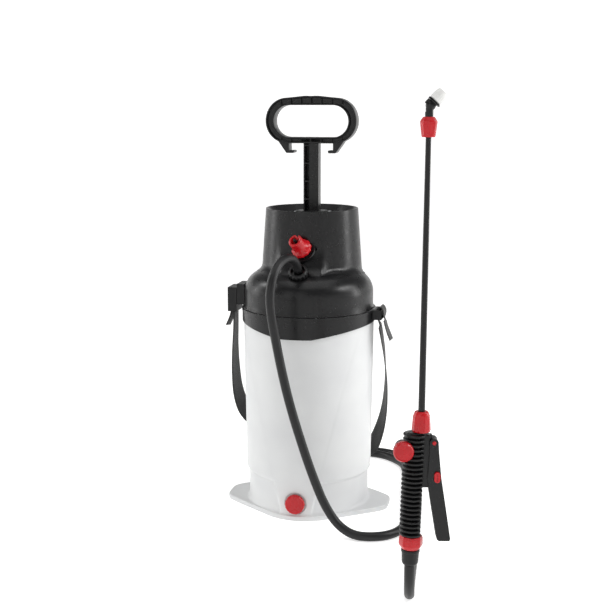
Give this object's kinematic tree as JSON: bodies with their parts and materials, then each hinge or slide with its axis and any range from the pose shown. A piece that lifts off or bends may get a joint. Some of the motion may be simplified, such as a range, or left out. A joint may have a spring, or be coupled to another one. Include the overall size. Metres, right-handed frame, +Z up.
{
  "type": "compression sprayer",
  "caption": "Hand-pumped garden sprayer: translucent tank under a black cover, loop pump handle, hose, spray gun with long lance, relief valve and shoulder strap.",
  "frame": {"origin": "centre of the tank's foot, on the floor it stands on", "axes": "+Z up along the tank's axis, -Y towards the front where the hose leaves the cover, +X towards the lance's side"},
  "size_m": [0.355, 0.6419, 0.5791],
  "materials": {
    "tank_plastic": "milky translucent, satin",
    "black_plastic": "semi-gloss moulded",
    "dark_plastic": "satin moulded",
    "grey_plastic": "satin moulded",
    "white_plastic": "satin moulded",
    "red_plastic": "glossy moulded",
    "seal_rubber": "matte",
    "hose_pvc": "smooth, soft sheen",
    "lance_plastic": "smooth, semi-gloss",
    "webbing": "woven",
    "spring_steel": "bright drawn wire"
  },
  "bodies": {
    "root": {"tank": "tank_plastic", "cover": "black_plastic", "collar": "black_plastic", "pump_cylinder": "white_plastic", "pump_gasket": "seal_rubber", "pump_nut": "grey_plastic", "foot_valve": "seal_rubber", "outlet_spigot": "black_plastic", "outlet_seal": "seal_rubber", "outlet_nut": "dark_plastic", "dip_tube": "white_plastic", "strainer": "dark_plastic", "valve_body": "dark_plastic", "valve_spring": "spring_steel", "strap_lug_left": "dark_plastic", "strap_lug_right": "dark_plastic", "strap_buckle": "dark_plastic", "strap": "webbing", "hose": "hose_pvc", "hose_barb": "dark_plastic", "hose_nut": "dark_plastic", "gun_nut": "red_plastic", "gun_body": "black_plastic", "gun_filter": "white_plastic", "gun_seal": "seal_rubber", "gun_spring": "spring_steel", "lever_pin": "red_plastic", "lance_nut": "red_plastic", "lance_oring": "seal_rubber", "lance_tube": "lance_plastic", "tip_nut": "red_plastic"},
    "guide": {"rod_guide": "dark_plastic"},
    "pump": {"handle": "black_plastic", "pump_rod": "black_plastic", "piston": "dark_plastic", "piston_seal": "seal_rubber"},
    "drain": {"drain_plug": "red_plastic", "drain_washer": "seal_rubber"},
    "relief": {"valve_knob": "red_plastic", "valve_stem": "dark_plastic", "valve_seal": "seal_rubber"},
    "lever": {"trigger_lever": "black_plastic"},
    "valve_pin": {"gun_pin": "spring_steel"},
    "lock": {"lever_lock": "red_plastic"},
    "knob": {"gun_knob": "red_plastic"},
    "elbow": {"lance_elbow": "black_plastic", "nozzle_insert": "dark_plastic"},
    "tip": {"nozzle": "white_plastic"}
  },
  "joints": [
    {"name": "pump_turn", "type": "hinge", "parent": "root", "child": "guide", "pos_m": [0, 0.02, 0.413], "axis": [0, 0, 1], "range_deg": [0, 90]},
    {"name": "pump_slide", "type": "slide", "parent": "guide", "child": "pump", "axis": [0, 0, 1], "range_m": [-0.076, 0]},
    {"name": "drain_turn", "type": "hinge", "parent": "root", "child": "drain", "pos_m": [0, -0.08, 0.024], "axis": [0, -1, 0], "range_deg": [0, 360]},
    {"name": "relief_pull", "type": "slide", "parent": "root", "child": "relief", "axis": [-0.2806, -0.7316, 0.6213], "range_m": [0, 0.004], "stiffness_N_per_m": 800, "springref_m": -0.002, "deforming": ["valve_spring"]},
    {"name": "trigger", "type": "hinge", "parent": "root", "child": "lever", "pos_m": [0.21228, -0.33706, 0.201], "axis": [-0.2164, 0.9763, 0], "range_deg": [0, 6], "stiffness_Nm_per_rad": 2, "springref_deg": -11.46},
    {"name": "pin_slide", "type": "slide", "parent": "root", "child": "valve_pin", "axis": [-0.9763, -0.2164, 0], "range_m": [0, 0.0036], "deforming": ["gun_spring"]},
    {"name": "lock_press", "type": "slide", "parent": "lever", "child": "lock", "axis": [-0.2164, 0.9763, 0], "range_m": [0, 0.0024]},
    {"name": "knob_turn", "type": "hinge", "parent": "root", "child": "knob", "pos_m": [0.17947, -0.34433, 0.193], "axis": [0.2164, -0.9763, 0], "range_deg": [0, 270]},
    {"name": "elbow_turn", "type": "hinge", "parent": "root", "child": "elbow", "pos_m": [0.20085, -0.33959, 0.545], "axis": [0.006, 0.0013, 1], "range_deg": [-180, 180]},
    {"name": "nozzle_turn", "type": "hinge", "parent": "elbow", "child": "tip", "pos_m": [0.20241, -0.33924, 0.56098], "axis": [0.6702, 0.1486, 0.7272], "range_deg": [0, 270]}
  ],
  "couplings": [
    {"joint": "pin_slide", "follows": "trigger", "m_per_rad": 0.033}
  ]
}
